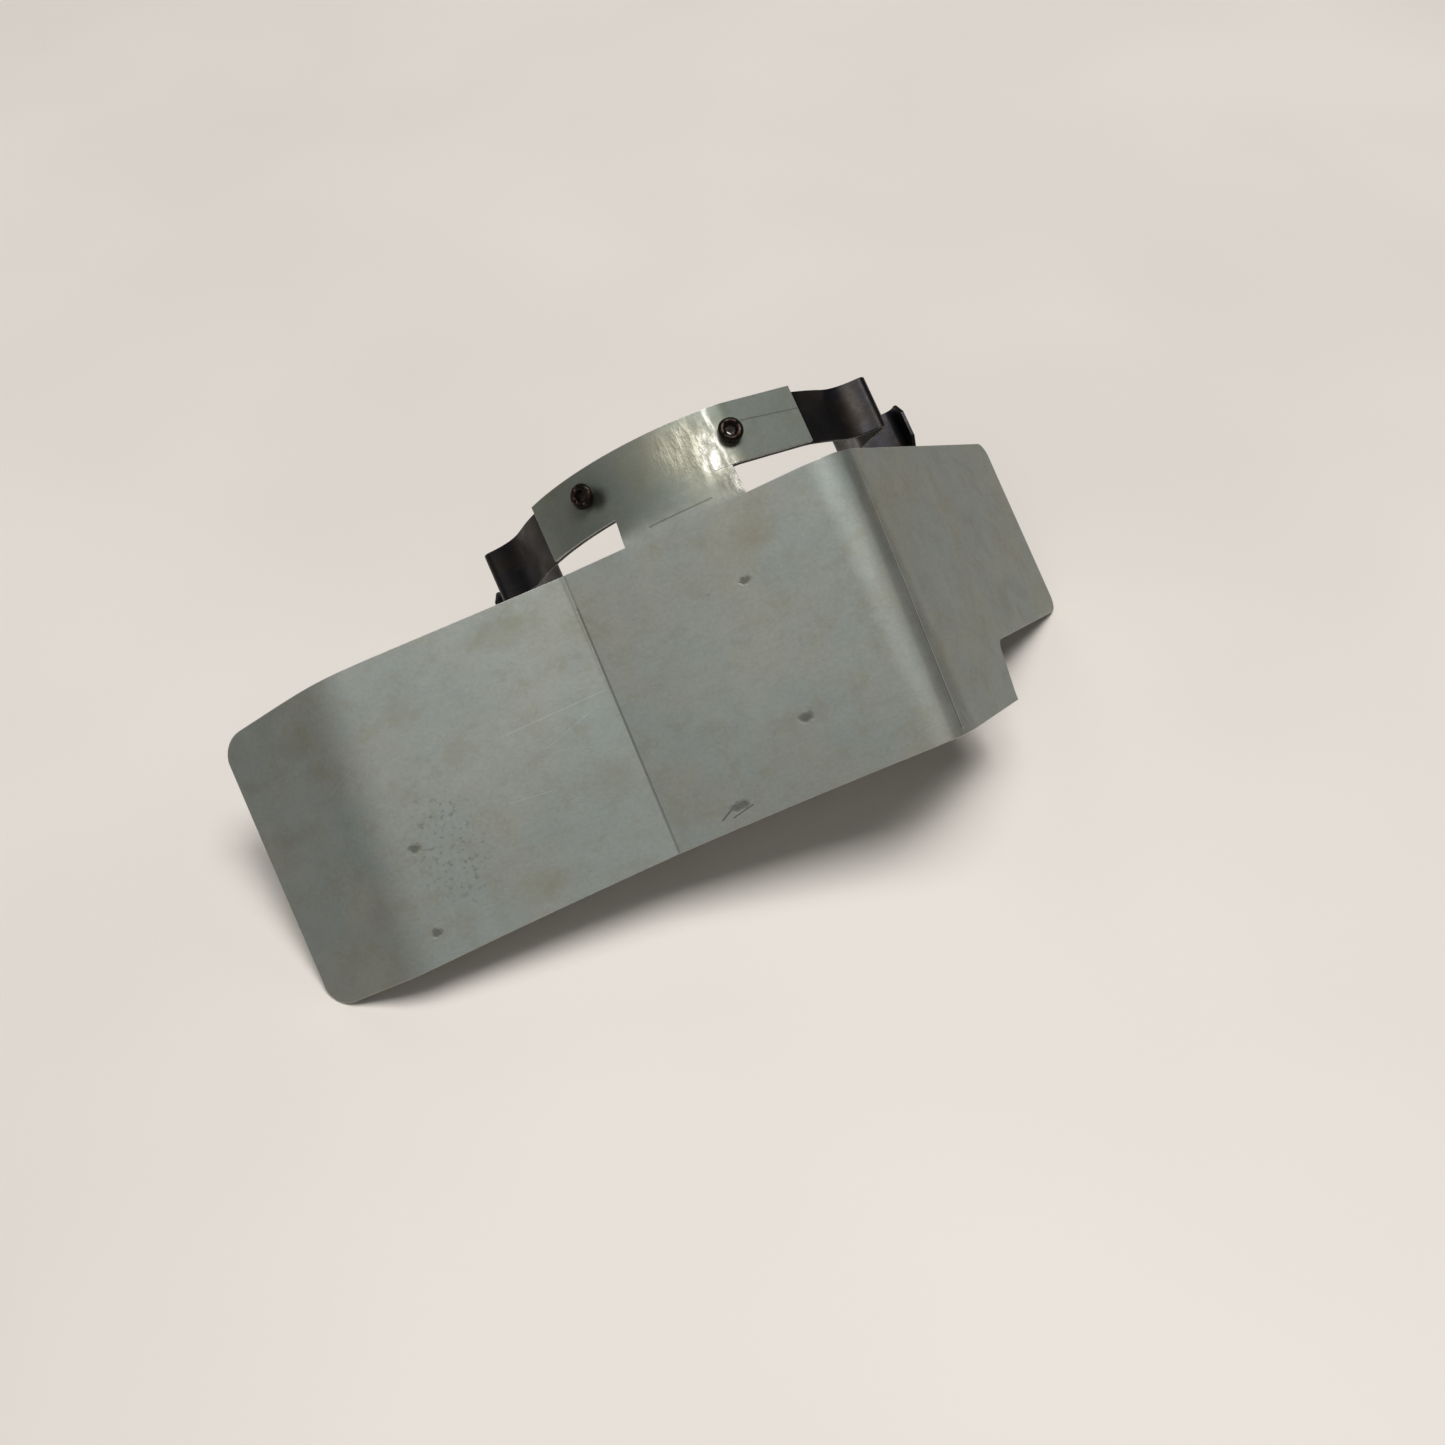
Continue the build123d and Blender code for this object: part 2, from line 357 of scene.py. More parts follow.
class Shader:
    """One material's nodes. Most methods add some and return the last one's output."""

    def __init__(self, name, coordinates):
        self.material = bpy.data.materials.new(name)
        self.material.use_nodes = True
        self.nodes = self.material.node_tree.nodes
        self.links = self.material.node_tree.links
        self.surface = self.nodes["Principled BSDF"]
        self.place = coordinates(self)

    def feed(self, socket, value):
        if isinstance(value, bpy.types.NodeSocket):
            self.links.new(value, socket)
        else:
            socket.default_value = value

    def add(self, kind, inputs, **settings):
        made = self.nodes.new(kind)
        for name, value in settings.items():
            setattr(made, name, value)
        for key, value in inputs.items():
            self.feed(made.inputs[key], value)
        return made

    def flat_sheet(self):
        """Place on the flat sheet, in millimetres."""
        return self.add("ShaderNodeUVMap", {}, uv_map="sheet").outputs[0]

    def solid(self):
        """Place in the object, in millimetres."""
        place = self.add("ShaderNodeTexCoord", {}).outputs["Object"]
        return self.vector("SCALE", place, scale=1 / MM)

    def math(self, operation, *values, clamp=False):
        made = self.add("ShaderNodeMath", dict(enumerate(values)), operation=operation, use_clamp=clamp)
        return made.outputs[0]

    def vector(self, operation, *values, scale=None):
        made = self.add("ShaderNodeVectorMath", dict(enumerate(values)), operation=operation)
        if scale is not None:
            self.feed(made.inputs["Scale"], scale)
        return made.outputs[1 if operation in ("DOT_PRODUCT", "LENGTH") else 0]

    def noise(self, size, detail=4.0, stretch=(1, 1, 1), shift=0.0, roughness=0.55):
        """Noise with blotches of about a size, in millimetres, stretched along the axes."""
        scales = Vector([1 / (size * s) for s in stretch])
        place = self.vector("MULTIPLY_ADD", self.place, scales, (shift, shift, shift))
        inputs = {"Vector": place, "Scale": 1.0, "Detail": detail, "Roughness": roughness}
        return self.add("ShaderNodeTexNoise", inputs).outputs[0]

    def ramp(self, value, low, high, to_low=0.0, to_high=1.0):
        """A smooth step from one value to another, as the input goes from low to high."""
        inputs = {"Value": value, "From Min": low, "From Max": high, "To Min": to_low, "To Max": to_high}
        return self.add("ShaderNodeMapRange", inputs, interpolation_type="SMOOTHSTEP").outputs[0]

    def mix(self, share, first, second, blend_type="MIX"):
        inputs = {0: share, 6: first, 7: second}
        made = self.add("ShaderNodeMix", inputs, data_type="RGBA", blend_type=blend_type)
        return made.outputs[2]

    def wash(self, colour, over, mask, strength):
        """The colour, with another laid over it where a mask is 1, at a strength."""
        return self.mix(self.math("MULTIPLY", mask, strength), colour, over)

    def line(self, start, end, width):
        """1 along a straight mark on the sheet, falling to 0 at its sides."""
        run = Vector((*end, 0)) - Vector((*start, 0))
        offset = self.vector("SUBTRACT", self.place, (*start, 0))
        product = self.vector("DOT_PRODUCT", offset, run)
        share = self.math("DIVIDE", product, run.length_squared, clamp=True)
        nearest = self.vector("SCALE", run, scale=share)
        gap = self.vector("LENGTH", self.vector("SUBTRACT", offset, nearest))
        return self.ramp(gap, width / 2, width / 6)

    def spot(self, middle, radii, ragged=0.0):
        """1 in the middle of an oval spot on the sheet, falling to 0 at its rim."""
        offset = self.vector("SUBTRACT", self.place, (*middle, 0))
        scaled = self.vector("MULTIPLY", offset, (1 / radii[0], 1 / radii[1], 0))
        gap = self.vector("LENGTH", scaled)
        if ragged:
            rough = self.noise(size=min(radii), detail=5)
            gap = self.math("MULTIPLY_ADD", rough, ragged, self.math("SUBTRACT", gap, ragged / 2))
        return self.ramp(gap, 1.0, 0.25)

    def lines(self, marks):
        return self.most(*[self.line(*mark) for mark in marks])

    def spots(self, marks):
        return self.most(*[self.spot(*mark) for mark in marks])

    def most(self, *masks):
        """The largest of some masks."""
        result = masks[0]
        for mask in masks[1:]:
            result = self.math("MAXIMUM", result, mask)
        return result

    def bump(self, height, depth, normal=None):
        """Relief: a height of 1 stands proud by the depth, in millimetres."""
        inputs = {"Height": height, "Distance": depth * MM, "Strength": 1.0}
        if normal:
            inputs["Normal"] = normal
        return self.add("ShaderNodeBump", inputs).outputs[0]

    def output(self, **inputs):
        for name, value in inputs.items():
            self.feed(self.surface.inputs[name.replace("_", " ")], value)
        return self.material


# ---- marks on the outer face: places on the flat sheet, in millimetres ----
# Lines: start, end and width.
crease_line = ((0.5, -4.0), (-0.2, -34.6), 0.42)
crease_line_at_neck = ((0.6, 0.3), (0.5, -5.0), 0.36)
fold_line = ((37.75, -0.5), (35.6, -33.8), 0.32)
# fold_shade: painted shade along the far side of the right bend.
fold_shade = ((36.6, -0.5), (34.6, -34.4), 2.6)
# kink_line: a painted highlight along the band's kink.
kink_line = ((23.2, 11.0), (23.3, 3.6), 0.9)
faint_scribe_lines = (
    ((11.9, 1.05), (19.7, 1.05), 0.28),
    ((27.0, 8.4), (36.0, 8.0), 0.22),
)
scratch_lines = (
    ((-12.7, -13.7), (-0.4, -13.6), 0.12),
    ((-9.0, -17.0), (-3.0, -15.2), 0.09),
    ((-15.4, -21.0), (-10.5, -21.6), 0.09),
    ((36.8, -32.0), (37.4, -34.2), 0.2),
    ((-34.0, -11.8), (-30.5, -10.4), 0.09),
)
gouge_lines = (
    ((5.9, -32.6), (7.8, -31.6), 0.24),
    ((7.2, -32.8), (9.8, -32.3), 0.2),
)

# Spots: middle, half widths and raggedness of the rim.
pit_spots = (
    ((-27.2, -21.4), (1.0, 0.8), 1.3),
    ((-28.7, -31.0), (0.8, 0.7), 1.3),
    ((19.3, -25.7), (1.0, 0.9), 1.4),
    ((19.3, -8.9), (1.0, 0.6), 1.4),
    ((8.4, -31.9), (1.5, 0.8), 1.5),
)
stain_spots = (
    ((-3.2, -22.9), (3.6, 3.4), 1.2),
    ((-9.0, -2.8), (7.0, 2.6), 1.3),
    ((22.0, -4.5), (4.5, 3.0), 1.4),
    ((16.0, 7.5), (7.5, 4.5), 1.3),
    ((65.0, -23.0), (2.6, 3.0), 1.3),
    ((-16.0, -31.0), (5.0, 2.4), 1.4),
    ((-36.0, -5.0), (4.0, 2.6), 1.4),
)
speckled_spot = ((-23.5, -22.5), (6.5, 11.0), 0.5)
# A painted shadow of the left rivet on the band.
left_rivet_painted_shadow = ((7.6, 7.0), (2.2, 1.9), 0.6)
crumple_spots = (
    ((20.4, 7.0), (5.6, 6.4), 1.2),
    ((23.6, 2.2), (3.2, 3.4), 0.9),
)
# Painted highlights on the crumple's crinkles.
highlight_spots = (
    ((24.0, 2.4), (2.4, 2.6), 1.0),
    ((21.8, 5.6), (1.8, 3.4), 1.4),
)


# ---- materials ----
def zinc_face():
    """The handled outer face: dull tarnished zinc, with scribed lines, scratches, pits and a crumple, and
    with painted shade on the band and the right bend, a painted shadow by the left rivet and painted
    highlights on the crumple.
    """
    s = Shader("zinc_face", Shader.flat_sheet)
    cool, warm, pale = srgb(154, 162, 158), srgb(161, 160, 149), srgb(176, 178, 170)

    # Tarnish, wear and fine grain all over the sheet.
    tarnish = s.ramp(s.noise(size=14, detail=5), 0.40, 0.68)
    colour = s.wash(cool, warm, tarnish, 0.8)
    worn = s.ramp(s.noise(size=22, detail=3, shift=7.0), 0.52, 0.72)
    colour = s.wash(colour, pale, worn, 0.3)
    mottle = s.noise(size=2.0, detail=7, shift=3.0, roughness=0.72)
    colour = s.mix(s.ramp(mottle, 0.3, 0.7, 0.0, 0.2), colour, srgb(134, 137, 130))
    fine = s.noise(size=0.5, detail=4, shift=17.0)
    colour = s.mix(s.ramp(fine, 0.35, 0.7, 0.0, 0.24), colour, pale)
    blooms = s.ramp(s.noise(size=4.0, detail=8, shift=29.0, roughness=0.78), 0.48, 0.62)
    colour = s.wash(colour, srgb(144, 142, 124), blooms, 0.36)
    streaks = s.noise(size=1.1, detail=5, stretch=(9, 0.35, 1), shift=11.0)
    colour = s.mix(s.ramp(streaks, 0.35, 0.75, 0.0, 0.08), colour, pale)

    # Painted shade: the neck and the band are darkened against the plate.
    from_root = s.add("ShaderNodeSeparateXYZ", {"Vector": s.place}).outputs["Y"]
    band_painted_shade = s.math("MULTIPLY", s.ramp(from_root, 0.0, 2.5), 0.9)
    colour = s.mix(band_painted_shade, colour, srgb(212, 214, 208), "MULTIPLY")

    # Painted shade along the far side of the right bend, then bend lines, scribed lines and scratches.
    colour = s.wash(colour, srgb(104, 106, 100), s.line(*fold_shade), 0.35)
    scribes = s.most(
        s.math("MULTIPLY", s.line(*crease_line), 0.8),
        s.math("MULTIPLY", s.line(*crease_line_at_neck), 0.4),
        s.line(*fold_line),
    )
    faint_scribes = s.lines(faint_scribe_lines)
    colour = s.wash(colour, srgb(84, 84, 80), scribes, 0.5)
    colour = s.wash(colour, srgb(96, 94, 84), faint_scribes, 0.4)
    colour = s.wash(colour, srgb(226, 226, 220), s.lines(scratch_lines), 0.22)

    # Pits, speckles, stains, and a painted shadow beside the left rivet.
    pits = s.most(s.spots(pit_spots), s.lines(gouge_lines))
    speckles = s.ramp(s.noise(size=0.7, detail=4, shift=5.0), 0.52, 0.68)
    speckles = s.math("MULTIPLY", speckles, s.math("MULTIPLY", s.spot(*speckled_spot), 0.32))
    stray = s.ramp(s.noise(size=0.9, detail=3, shift=19.0), 0.68, 0.80, 0.0, 0.25)
    dark_marks = s.most(s.math("MULTIPLY", pits, 0.6), speckles, stray)
    colour = s.mix(dark_marks, colour, srgb(78, 80, 74))
    colour = s.wash(colour, srgb(138, 133, 110), s.spots(stain_spots), 0.26)
    colour = s.wash(colour, srgb(44, 44, 42), s.spot(*left_rivet_painted_shadow), 0.85)

    # The crumpled patch between the right rivet and the neck's corner: a brownish tone of its own, with
    # painted glints and painted highlights on its crinkles and along the kink.
    crumple = s.spots(crumple_spots)
    flow = s.noise(size=1.5, detail=6, stretch=(0.7, 2.0, 1), shift=31.0, roughness=0.68)
    cracks = s.ramp(flow, 0.34, 0.66)
    kink = s.math("MULTIPLY", s.line(*kink_line), cracks)
    painted_highlight_patches = s.math("MULTIPLY", s.spots(highlight_spots), cracks)
    crinkles_and_glints = s.math("MULTIPLY", crumple, cracks)
    colour = s.wash(colour, srgb(146, 142, 124), crumple, 0.5)
    colour = s.wash(colour, srgb(206, 203, 186), crinkles_and_glints, 0.3)
    painted_highlight = s.most(s.math("MULTIPLY", painted_highlight_patches, 0.85), s.math("MULTIPLY", kink, 0.8))
    colour = s.mix(painted_highlight, colour, srgb(250, 248, 240))

    # Sheen and relief.
    haze = s.noise(size=5.0, detail=5, shift=23.0)
    roughness = s.ramp(haze, 0.3, 0.7, 0.52, 0.62)
    roughness = s.math("SUBTRACT", roughness, s.math("MULTIPLY", crinkles_and_glints, 0.12))
    roughness = s.math("ADD", roughness, s.math("MULTIPLY", dark_marks, 0.2))
    grain = s.bump(s.noise(size=0.30, detail=5, stretch=(3, 1, 1), shift=2.0), 0.010)
    dents = s.bump(s.noise(size=6.0, detail=2, shift=41.0), 0.05, grain)
    creased = s.bump(crinkles_and_glints, 0.05, dents)
    sunk = s.math("MAXIMUM", s.most(scribes, pits), s.math("MULTIPLY", faint_scribes, 0.5))
    cut = s.bump(s.math("SUBTRACT", 1.0, sunk), 0.04, creased)
    return s.output(Base_Color=colour, Metallic=0.82, Roughness=roughness, Normal=cut)


def zinc_back():
    """The sheltered inner face: duller, with chalky blooms."""
    s = Shader("zinc_back", Shader.flat_sheet)
    bloom = s.ramp(s.noise(size=10, detail=6, shift=50.0), 0.4, 0.65)
    colour = s.mix(bloom, srgb(168, 172, 166), srgb(190, 188, 176))
    dull = s.ramp(s.noise(size=1.8, detail=6, shift=60.0), 0.5, 0.75, 0.0, 0.35)
    colour = s.mix(dull, colour, srgb(134, 132, 120))
    roughness = s.ramp(s.noise(size=4.0, detail=4, shift=70.0), 0.3, 0.7, 0.46, 0.6)
    grain = s.bump(s.noise(size=0.35, detail=5, shift=80.0), 0.02)
    return s.output(Base_Color=colour, Metallic=0.75, Roughness=roughness, Normal=grain)


def sheared_edge():
    """The sheet's cut rim: bright steel with the shear's fine drag lines."""
    s = Shader("sheared_edge", Shader.flat_sheet)
    drag = s.noise(size=0.35, detail=4, shift=90.0)
    colour = s.mix(s.ramp(drag, 0.3, 0.7), srgb(178, 178, 172), srgb(206, 206, 200))
    roughness = s.ramp(drag, 0.3, 0.7, 0.36, 0.46)
    return s.output(Base_Color=colour, Metallic=0.9, Roughness=roughness, Normal=s.bump(drag, 0.006))


def blued_steel():
    """Dark blued spring steel, browned in patches."""
    s = Shader("blued_steel", Shader.flat_sheet)
    browned = s.ramp(s.noise(size=5, detail=5, shift=100.0), 0.4, 0.65)
    colour = s.mix(browned, srgb(35, 34, 38), srgb(45, 40, 35))
    rubbed = s.ramp(s.noise(size=1.2, detail=6, stretch=(3, 1, 1), shift=110.0), 0.55, 0.8, 0.0, 0.25)
    colour = s.mix(rubbed, colour, srgb(84, 80, 76))
    roughness = s.ramp(s.noise(size=2.5, detail=5, shift=120.0), 0.3, 0.7, 0.34, 0.5)
    grain = s.bump(s.noise(size=0.25, detail=4, stretch=(4, 1, 1), shift=130.0), 0.012)
    return s.output(Base_Color=colour, Metallic=0.75, Roughness=roughness, Normal=grain)


def dark_bronze():
    """Rivets gone dark brown with age, and finely pitted."""
    s = Shader("dark_bronze", Shader.solid)
    aged = s.ramp(s.noise(size=0.9, detail=5), 0.4, 0.65)
    colour = s.mix(aged, srgb(30, 25, 23), srgb(58, 46, 37))
    roughness = s.ramp(s.noise(size=0.6, detail=4, shift=9.0), 0.3, 0.7, 0.3, 0.5)
    pitted = s.bump(s.noise(size=0.4, detail=5, shift=15.0), 0.03)
    return s.output(Base_Color=colour, Metallic=0.85, Roughness=roughness, Normal=pitted)


def pale_board():
    """The plain pale surface that the guard lies on."""
    s = Shader("pale_board", Shader.solid)
    tone = s.ramp(s.noise(size=160, detail=3), 0.3, 0.7)
    colour = s.mix(tone, srgb(232, 226, 219), srgb(240, 235, 229))
    fine = s.noise(size=1.5, detail=4)
    return s.output(Base_Color=colour, Roughness=0.55, Normal=s.bump(fine, 0.02))


# ---- guard sheet: flange, two panels, tab, neck and rivet band ----
def sheet_corners(panel_length):
    """The outer face's corners from the left edge to the tab's tip, for one length of left panel."""
    crease = along((0, 0), -crease_from_neck, right_panel_slope)
    left_fold = along(crease, -panel_length, left_panel_slope)
    right_fold = along((0, 0), fold_from_neck, right_panel_slope)
    drop = (left_fold.x - left_edge_x) * tan(radians(left_flange_slope))
    left_edge = Vector((left_edge_x, left_fold.y - drop))
    return left_edge, left_fold, crease, right_fold, along(right_fold, tab_length, tab_slope)


def corner_steps(radius):
    """Distances from an edge that divide its rounded corner into even turns."""
    return [radius * (1 - cos(pi / 2 * k / corner_columns)) for k in range(1, corner_columns + 1)]


def corner_cut(distance, radius):
    """How far a rounded corner pulls the side in, at a distance from the end."""
    inside = min(radius, max(0.0, radius - distance))
    return radius - sqrt(radius**2 - inside**2)


notch_line = rounded_points(
    (
        (notch_foot_from_fold - notch_foot_lean, -plate_width),
        (notch_foot_from_fold, notch_foot_height - plate_width),
        (notch_from_fold, -tab_width),
        (tab_length, -tab_width),
    ),
    (notch_foot_radius, notch_radius),
    arc_step=notch_arc_step,
)[:-1]
neck_left_distance = crease_from_neck + neck_offset - neck_width / 2
neck_right_distance = crease_from_neck + neck_offset + neck_width / 2
panel_length_total = crease_from_neck + fold_from_neck
neck_columns = spaced(neck_left_distance, neck_right_distance, neck_step)
tab_columns = spaced(fold_margin, notch_foot_from_fold - notch_margin, tab_step)
tab_columns += [point.x for point, _ in notch_line]
tab_columns += spaced(
    notch_line[-1][0].x + tab_end_margin,
    tab_length - tab_corner_radius - tab_end_margin,
    tab_end_step,
)
tab_columns += [tab_length - step for step in reversed(corner_steps(tab_corner_radius))]


def profile(panel_length):
    """The outer face's columns where they cross the sheet, for one length of left panel."""
    corners = sheet_corners(panel_length)
    flange = (corners[1] - corners[0]).length
    left_columns = corner_steps(left_corner_radius)
    left_columns += spaced(left_corner_radius, flange - fold_margin, flange_step)[1:]
    right_columns = spaced(crease_margin, neck_left_distance, neck_step)[:-1]
    right_columns += neck_columns
    right_columns += spaced(neck_right_distance, panel_length_total - fold_margin, neck_step)[1:]
    runs = (
        left_columns,
        spaced(fold_margin, panel_length - crease_margin, panel_step),
        right_columns,
        tab_columns,
    )
    radii = (left_bend_radius, crease_radius, right_bend_radius)
    crease_distance = panel_length + flange
    points = rounded_points(corners, radii, bend_arc_step, runs)
    return [(point, distance - crease_distance) for point, distance in points]


def back_edge(x):
    """The back edge's y: straight from the neck to the left bend, and drooping beyond it."""
    fold_x = sheet_corners(left_panel_length)[1].x
    outer_slope = (back_edge_bow + back_edge_drop) / (fold_x - left_edge_x)
    inner_slope = back_edge_bow / fold_x
    if x > 0:
        return 0.0
    reach = x - fold_x
    if reach > back_bow_half_run:
        return inner_slope * x
    if reach < -back_bow_half_run:
        return back_edge_bow + outer_slope * reach
    curve = (inner_slope - outer_slope) / (4 * back_bow_half_run)
    return back_edge_bow + outer_slope * reach + curve * (reach + back_bow_half_run) ** 2


def front_edge(x):
    """The front edge's y, a little hollow between the two bends."""
    left = sheet_corners(left_panel_length + left_fold_skew)[1].x
    right = sheet_corners(left_panel_length)[3].x
    share = (2 * x - left - right) / (right - left)
    return front_edge_bow * max(0.0, 1 - share**2) - plate_width


back_profile = profile(left_panel_length)
front_profile = profile(left_panel_length + left_fold_skew)
if len(back_profile) != len(front_profile):
    raise ValueError("the two profiles need the same columns")


def side_edges(index):
    """Front and back y of one column."""
    (back_point, back_distance), (front_point, _) = back_profile[index], front_profile[index]
    past_fold = back_distance - panel_length_total
    if past_fold < 0:
        back, front = back_edge(back_point.x), front_edge(front_point.x)
    else:
        back, front = -tab_taper * past_fold / tab_length, -plate_width
        for (start, _), (end, _) in zip(notch_line, notch_line[1:]):
            if start.x <= past_fold <= end.x:
                front = blend_value(start.y, end.y, (past_fold - start.x) / (end.x - start.x))
        if past_fold > notch_line[-1][0].x:
            front = -tab_width
        cut = corner_cut(tab_length - past_fold, tab_corner_radius)
        return front + cut, back - cut
    cut = corner_cut(back_point.x - left_edge_x, left_corner_radius * cos(radians(left_flange_slope)))
    return front + cut, back - cut


wave_height = 0.16
wave_sizes = (19, 15)
wave_seed = 3.3
wave_fade = 6


def sheet_wave(distance, y):
    """The slight unevenness of a hand-bent sheet, which dies away towards the clip."""
    fade = min(1.0, max(0.0, -y / wave_fade))
    slow = noise.noise(Vector((distance / wave_sizes[0], y / wave_sizes[1], wave_seed)))
    return wave_height * slow * fade


edges = [side_edges(index) for index in range(len(back_profile))]
section_span = back_edge_bow + plate_width


def plate_surface(index, share):
    """A point of the plate: a column's index and its share of the way from front to back."""
    index = int(index)
    front, back = edges[index]
    y = blend_value(front, back, share)
    towards_front = (back_edge_bow - y) / section_span
    (back_point, back_distance), (front_point, front_distance) = back_profile[index], front_profile[index]
    point = back_point.lerp(front_point, towards_front)
    distance = blend_value(back_distance, front_distance, towards_front)
    return Vector((point.x, y, point.y + sheet_wave(distance, y))), (distance, y)


# The band is kinked at the right rivet, and the neck meets it between two angles.
kink_angle = rivet_places["right"][0]
neck_band_left = -degrees((neck_width / 2 - neck_offset + band_offset) / band_radius)
neck_band_right = degrees((neck_width / 2 + neck_offset - band_offset) / band_radius)


def arch(centre, angle, radius, across):
    """A point of the arched band: round as far as the right rivet, and flattened beyond it."""
    if angle <= kink_angle:
        return clip_point(centre, angle, radius, across)
    share = (angle - kink_angle) / (band_half_angle - kink_angle)
    kink = clip_point(centre, kink_angle, radius, across)
    return kink.lerp(clip_point(centre, band_half_angle, radius, across), share)


def band_surface(run, across):
    """A point of the band: its arc length from the top and its distance along the clip's axis."""
    angle = degrees(run / band_radius)
    point = arch(band_centre, angle, band_radius, across)
    return point, (run + crease_from_neck, across + neck_length + band_width / 2)


def band_run(angle):
    return radians(angle) * band_radius


neck_first = min(range(len(back_profile)), key=lambda i: abs(back_profile[i][1] - neck_left_distance))
neck_last = min(range(len(back_profile)), key=lambda i: abs(back_profile[i][1] - neck_right_distance))
neck_runs = [
    blend_value(band_run(neck_band_left), band_run(neck_band_right), k / (neck_last - neck_first))
    for k in range(neck_last - neck_first + 1)
]
crumple_middle = Vector((6.6, 2.6))
crumple_reach = 2.6
crumple_swell = 0.16
crumple_ripple = 0.22
ripple_scale = Vector((1.3, 0.9))
ripple_seed = 8.8


def neck_surface(index, share):
    """A point of the neck, which leaves the plate flat and arches into the band."""
    index = int(index)
    root, (distance, root_y) = plate_surface(neck_first + index, 1.0)
    end, (run, end_y) = band_surface(neck_runs[index], -band_width / 2)
    reach = (end - root).length
    start_way, end_way = Vector((0, 1, 0)) * reach, clip_axis * reach
    square, cube = share**2, share**3
    point = root * (2 * cube - 3 * square + 1) + start_way * (cube - 2 * square + share)
    point += end * (3 * square - 2 * cube) + end_way * (cube - square)
    near = max(0.0, 1 - (point.xy - crumple_middle).length / crumple_reach)
    ripple = noise.noise(Vector((*(point.xy * ripple_scale), ripple_seed)))
    point.z += near * (crumple_swell + crumple_ripple * ripple)
    return point, (blend_value(distance, run, share), blend_value(root_y, end_y, share))


def guard_sheet():
    mesh = start_mesh()
    add_patch(mesh, plate_surface, range(len(back_profile)), spaced(0, 1, 1 / plate_rows))
    add_patch(mesh, neck_surface, range(len(neck_runs)), spaced(0, 1, 1 / neck_rows))
    runs = spaced(band_run(-band_half_angle), neck_runs[0], band_step)[:-1]
    runs += neck_runs
    runs += spaced(neck_runs[-1], band_run(band_half_angle), band_step)[1:]
    holes = [
        (band_run(angle), off, rivet_shank_radius, band_hole_margin)
        for angle, off in rivet_places.values()
    ]
    add_patch(mesh, band_surface, runs, spaced(-band_width / 2, band_width / 2, band_row_step), holes)
    return finish_piece(
        "guard_sheet",
        mesh,
        (zinc_face(), zinc_back(), sheared_edge()),
        thickness=sheet_thickness,
        inner_slot=1,
        rim_slot=2,
        bevel=sheet_bevel,
    )


sheet = guard_sheet()
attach(sheet, "guard")
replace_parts(sheet, "guard_plate")


# ---- spring strip: one strip in two halves, each from under the band's middle to its lip ----
def strip_line(side):
    """Points of one half strip's tube side, from its middle to its lip, in the clip's two axes.

    The right half is flattened beyond its rivet, as the band is. spring_strip mirrors the left half.
    """
    radius = band_radius - sheet_thickness - strip_thickness - strip_seat_gap

    def at(angle, r=radius):
        return Vector((r * sin(radians(angle)), r * cos(radians(angle))))

    round_to, corners, radii = waist_end_angle, [], []
    if side == "right":
        round_to = kink_angle
        corners, radii = [at(kink_angle), at(band_half_angle)], list(kink_exit_radii)
    waist_end = at(waist_end_angle)
    grip_start, grip_end = at(90 - grip_start_angle, tube_radius), at(90 - grip_end_angle, tube_radius)
    corners += [
        waist_end,
        along(waist_end, waist_run, -waist_end_angle),
        Vector(shoulder_fold),
        along(grip_start, -grip_entry_run, grip_start_angle - 90),
        grip_start,
    ]
    radii += [waist_bend_radius, shoulder_radius, grip_entry_radius]
    points = [at(angle) for angle in spaced(0, round_to, arch_angle_step)]
    points += [point for point, _ in rounded_points(corners, radii, clip_arc_step)][1:]
    grip_angles = spaced(grip_start_angle, grip_end_angle, grip_angle_step)
    points += [at(90 - angle, tube_radius) for angle in grip_angles][1:]
    lip = rounded_points(
        (
            grip_end,
            along(grip_end, grip_exit_run, grip_end_angle - 90),
            lip_corner,
            along(lip_corner, lip_run, lip_heading),
        ),
        (grip_exit_radius, lip_curl_radius),
        clip_arc_step,
    )
    return points + [point for point, _ in lip][1:]


def spring_strip(side, material):
    mirror = 1 if side == "right" else -1
    points = strip_line(side)
    runs = [0.0]
    for before, after in zip(points, points[1:]):
        runs.append(runs[-1] + (after - before).length)
    chamfer_start = runs[-1] - lip_chamfer
    stations = [0.0]
    for before, after in zip(runs, runs[1:]):
        for run in spaced(before, after, strip_step)[1:]:
            if stations[-1] + station_gap < run < chamfer_start - station_gap:
                stations.append(run)
    stations += spaced(chamfer_start, runs[-1], lip_step)

    def surface(run, share):
        k = min(bisect_right(runs, run), len(runs) - 1) - 1
        place = points[k].lerp(points[k + 1], (run - runs[k]) / (runs[k + 1] - runs[k]))
        half = strip_width / 2 - max(0.0, run - runs[-1] + lip_chamfer)
        across = share * half / (strip_width / 2)
        point = strip_centre + clip_side * place.x * mirror + clip_up * place.y + clip_axis * across
        return point, (run * mirror, across)

    angle, off = rivet_places[side]
    line_radius = points[0].length
    hole_run = abs(radians(angle)) * line_radius
    holes = [(hole_run, off + strip_offset, rivet_shank_radius, strip_hole_margin)]
    mesh = start_mesh()
    add_patch(mesh, surface, stations, spaced(-strip_width / 2, strip_width / 2, strip_row_step), holes)
    if side == "left":
        bmesh.ops.reverse_faces(mesh, faces=mesh.faces)
    piece = finish_piece(
        f"spring_strip_{side}",
        mesh,
        (material,),
        thickness=strip_thickness,
        bevel=strip_bevel,
        outward=1,
    )
    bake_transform(piece)
    return piece


spring = blued_steel()
for side, nodes in (("left", ("spring_bridge", "spring_arm_left")), ("right", ("spring_arm_right",))):
    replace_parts(spring_strip(side, spring), *nodes)


# ---- tubular rivets ----
clinch_steps = 13
clinch_curl = 1.28 * pi
head_edge = ((0.05, 0.0), (0.0, 0.06), (0.06, head_thickness - 0.03), (0.16, head_thickness))
rivet_segments = 56
rivet_unevenness = 0.05
uneven_scale = 1.3
split_count = 4
split_depth = 0.16
split_sharpness = 24


